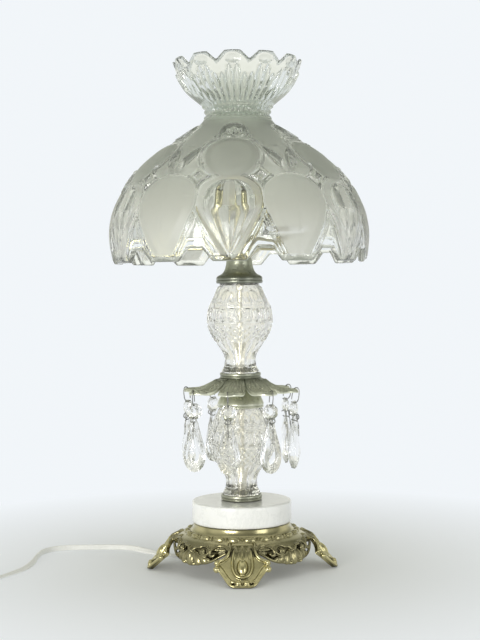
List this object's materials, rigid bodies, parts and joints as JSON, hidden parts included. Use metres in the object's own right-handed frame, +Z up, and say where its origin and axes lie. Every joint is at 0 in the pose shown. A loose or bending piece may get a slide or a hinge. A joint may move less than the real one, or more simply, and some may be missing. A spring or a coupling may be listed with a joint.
{
  "type": "crystal table lamp",
  "caption": "Table lamp with a cast brass foot, marble disc, stacked pressed-glass columns, petalled bobeche hung with glass prisms, and a domed glass shade with a flared crown.",
  "frame": {"origin": "on the lamp's axis at table level, under the middle of the base", "axes": "+Z up along the centre pipe, -Y towards the viewer of the picture, +X to that viewer's right"},
  "size_m": [0.4683, 0.2594, 0.5139],
  "materials": {
    "cast_brass": "antiqued cast brass, glossy lacquer, dark in its recesses",
    "antique_brass": "satin antique brass, grey-green",
    "polished_brass": "bright brass",
    "zinc_steel": "zinc plated",
    "marble": "polished white marble with faint grey veins",
    "column_glass": "clear pressed glass",
    "prism_glass": "clear cut glass",
    "shade_glass": "pressed glass, alternately clear and acid-frosted panels",
    "bulb_glass": "pearl",
    "bulb_cap_metal": "rolled thread",
    "card_liner": "fibre card",
    "socket_porcelain": "moulded phenolic",
    "dark_plastic": "moulded, black-brown",
    "hook_wire": "bright plated wire",
    "cord_pvc": "white PVC, satin",
    "plug_plastic": "moulded white, satin"
  },
  "bodies": {
    "lamp": {"base_casting": "cast_brass", "base_washer": "zinc_steel", "base_lock_nut": "zinc_steel", "cord_bushing": "dark_plastic", "threaded_pipe": "zinc_steel", "inner_lead": "cord_pvc", "marble_disc": "marble", "lower_seat_ring": "antique_brass", "middle_seat_ring": "antique_brass", "lower_crystal": "column_glass", "upper_crystal": "column_glass", "bell_cap": "antique_brass", "neck_cap": "antique_brass", "bobeche": "antique_brass", "shade_holder": "polished_brass", "socket_cap": "polished_brass", "socket_shell": "polished_brass", "socket_liner": "card_liner", "socket_body": "socket_porcelain", "screw_shell": "polished_brass", "cord_tube": "cord_pvc", "cord_coil": "cord_pvc", "cord_tail": "cord_pvc", "plug": "plug_plastic"},
    "shade": {"shade": "shade_glass"},
    "bulb": {"bulb_glass": "bulb_glass", "bulb_cap": "bulb_cap_metal"},
    "switch": {"switch_knob": "dark_plastic"},
    "chain_1": {"hook_1": "hook_wire", "bead_1": "prism_glass"},
    "pendant_1": {"pin_1": "hook_wire", "drop_1": "prism_glass"},
    "chain_2": {"hook_2": "hook_wire", "bead_2": "prism_glass"},
    "pendant_2": {"pin_2": "hook_wire", "drop_2": "prism_glass"},
    "chain_3": {"hook_3": "hook_wire", "bead_3": "prism_glass"},
    "pendant_3": {"pin_3": "hook_wire", "drop_3": "prism_glass"},
    "chain_4": {"hook_4": "hook_wire", "bead_4": "prism_glass"},
    "pendant_4": {"pin_4": "hook_wire", "drop_4": "prism_glass"},
    "chain_5": {"hook_5": "hook_wire", "bead_5": "prism_glass"},
    "pendant_5": {"pin_5": "hook_wire", "drop_5": "prism_glass"},
    "chain_6": {"hook_6": "hook_wire", "bead_6": "prism_glass"},
    "pendant_6": {"pin_6": "hook_wire", "drop_6": "prism_glass"},
    "chain_7": {"hook_7": "hook_wire", "bead_7": "prism_glass"},
    "pendant_7": {"pin_7": "hook_wire", "drop_7": "prism_glass"},
    "chain_8": {"hook_8": "hook_wire", "bead_8": "prism_glass"},
    "pendant_8": {"pin_8": "hook_wire", "drop_8": "prism_glass"}
  },
  "joints": [
    {"name": "shade_lift", "type": "slide", "parent": "lamp", "child": "shade", "axis": [0, 0, 1], "range_m": [0, 0.16]},
    {"name": "bulb_unscrew", "type": "slide", "parent": "lamp", "child": "bulb", "axis": [0, 0, 1], "range_m": [0, 0.0175]},
    {"name": "switch_turn", "type": "hinge", "parent": "lamp", "child": "switch", "pos_m": [0.01879, 0.00684, 0.355], "axis": [0.9397, 0.342, 0], "continuous": true},
    {"name": "chain_1_swing", "type": "hinge", "parent": "lamp", "child": "chain_1", "pos_m": [-0.01237, -0.05359, 0.1806], "axis": [-0.9744, 0.225, 0], "range_deg": [-9, 30]},
    {"name": "pendant_1_swing", "type": "hinge", "parent": "chain_1", "child": "pendant_1", "pos_m": [-0.01237, -0.05359, 0.1569], "axis": [-0.9744, 0.225, 0], "range_deg": [-6, 13]},
    {"name": "chain_2_swing", "type": "hinge", "parent": "lamp", "child": "chain_2", "pos_m": [0.02915, -0.04664, 0.1806], "axis": [-0.848, -0.5299, 0], "range_deg": [-9, 30]},
    {"name": "pendant_2_swing", "type": "hinge", "parent": "chain_2", "child": "pendant_2", "pos_m": [0.02915, -0.04664, 0.1569], "axis": [-0.848, -0.5299, 0], "range_deg": [-6, 13]},
    {"name": "chain_3_swing", "type": "hinge", "parent": "lamp", "child": "chain_3", "pos_m": [0.05359, -0.01237, 0.1806], "axis": [-0.225, -0.9744, 0], "range_deg": [-9, 30]},
    {"name": "pendant_3_swing", "type": "hinge", "parent": "chain_3", "child": "pendant_3", "pos_m": [0.05359, -0.01237, 0.1569], "axis": [-0.225, -0.9744, 0], "range_deg": [-6, 13]},
    {"name": "chain_4_swing", "type": "hinge", "parent": "lamp", "child": "chain_4", "pos_m": [0.04664, 0.02915, 0.1806], "axis": [0.5299, -0.848, 0], "range_deg": [-9, 30]},
    {"name": "pendant_4_swing", "type": "hinge", "parent": "chain_4", "child": "pendant_4", "pos_m": [0.04664, 0.02915, 0.1569], "axis": [0.5299, -0.848, 0], "range_deg": [-6, 13]},
    {"name": "chain_5_swing", "type": "hinge", "parent": "lamp", "child": "chain_5", "pos_m": [0.01237, 0.05359, 0.1806], "axis": [0.9744, -0.225, 0], "range_deg": [-9, 30]},
    {"name": "pendant_5_swing", "type": "hinge", "parent": "chain_5", "child": "pendant_5", "pos_m": [0.01237, 0.05359, 0.1569], "axis": [0.9744, -0.225, 0], "range_deg": [-6, 13]},
    {"name": "chain_6_swing", "type": "hinge", "parent": "lamp", "child": "chain_6", "pos_m": [-0.02915, 0.04664, 0.1806], "axis": [0.848, 0.5299, 0], "range_deg": [-9, 30]},
    {"name": "pendant_6_swing", "type": "hinge", "parent": "chain_6", "child": "pendant_6", "pos_m": [-0.02915, 0.04664, 0.1569], "axis": [0.848, 0.5299, 0], "range_deg": [-6, 13]},
    {"name": "chain_7_swing", "type": "hinge", "parent": "lamp", "child": "chain_7", "pos_m": [-0.05359, 0.01237, 0.1806], "axis": [0.225, 0.9744, 0], "range_deg": [-9, 30]},
    {"name": "pendant_7_swing", "type": "hinge", "parent": "chain_7", "child": "pendant_7", "pos_m": [-0.05359, 0.01237, 0.1569], "axis": [0.225, 0.9744, 0], "range_deg": [-6, 13]},
    {"name": "chain_8_swing", "type": "hinge", "parent": "lamp", "child": "chain_8", "pos_m": [-0.04664, -0.02915, 0.1806], "axis": [-0.5299, 0.848, 0], "range_deg": [-9, 30]},
    {"name": "pendant_8_swing", "type": "hinge", "parent": "chain_8", "child": "pendant_8", "pos_m": [-0.04664, -0.02915, 0.1569], "axis": [-0.5299, 0.848, 0], "range_deg": [-6, 13]}
  ]
}
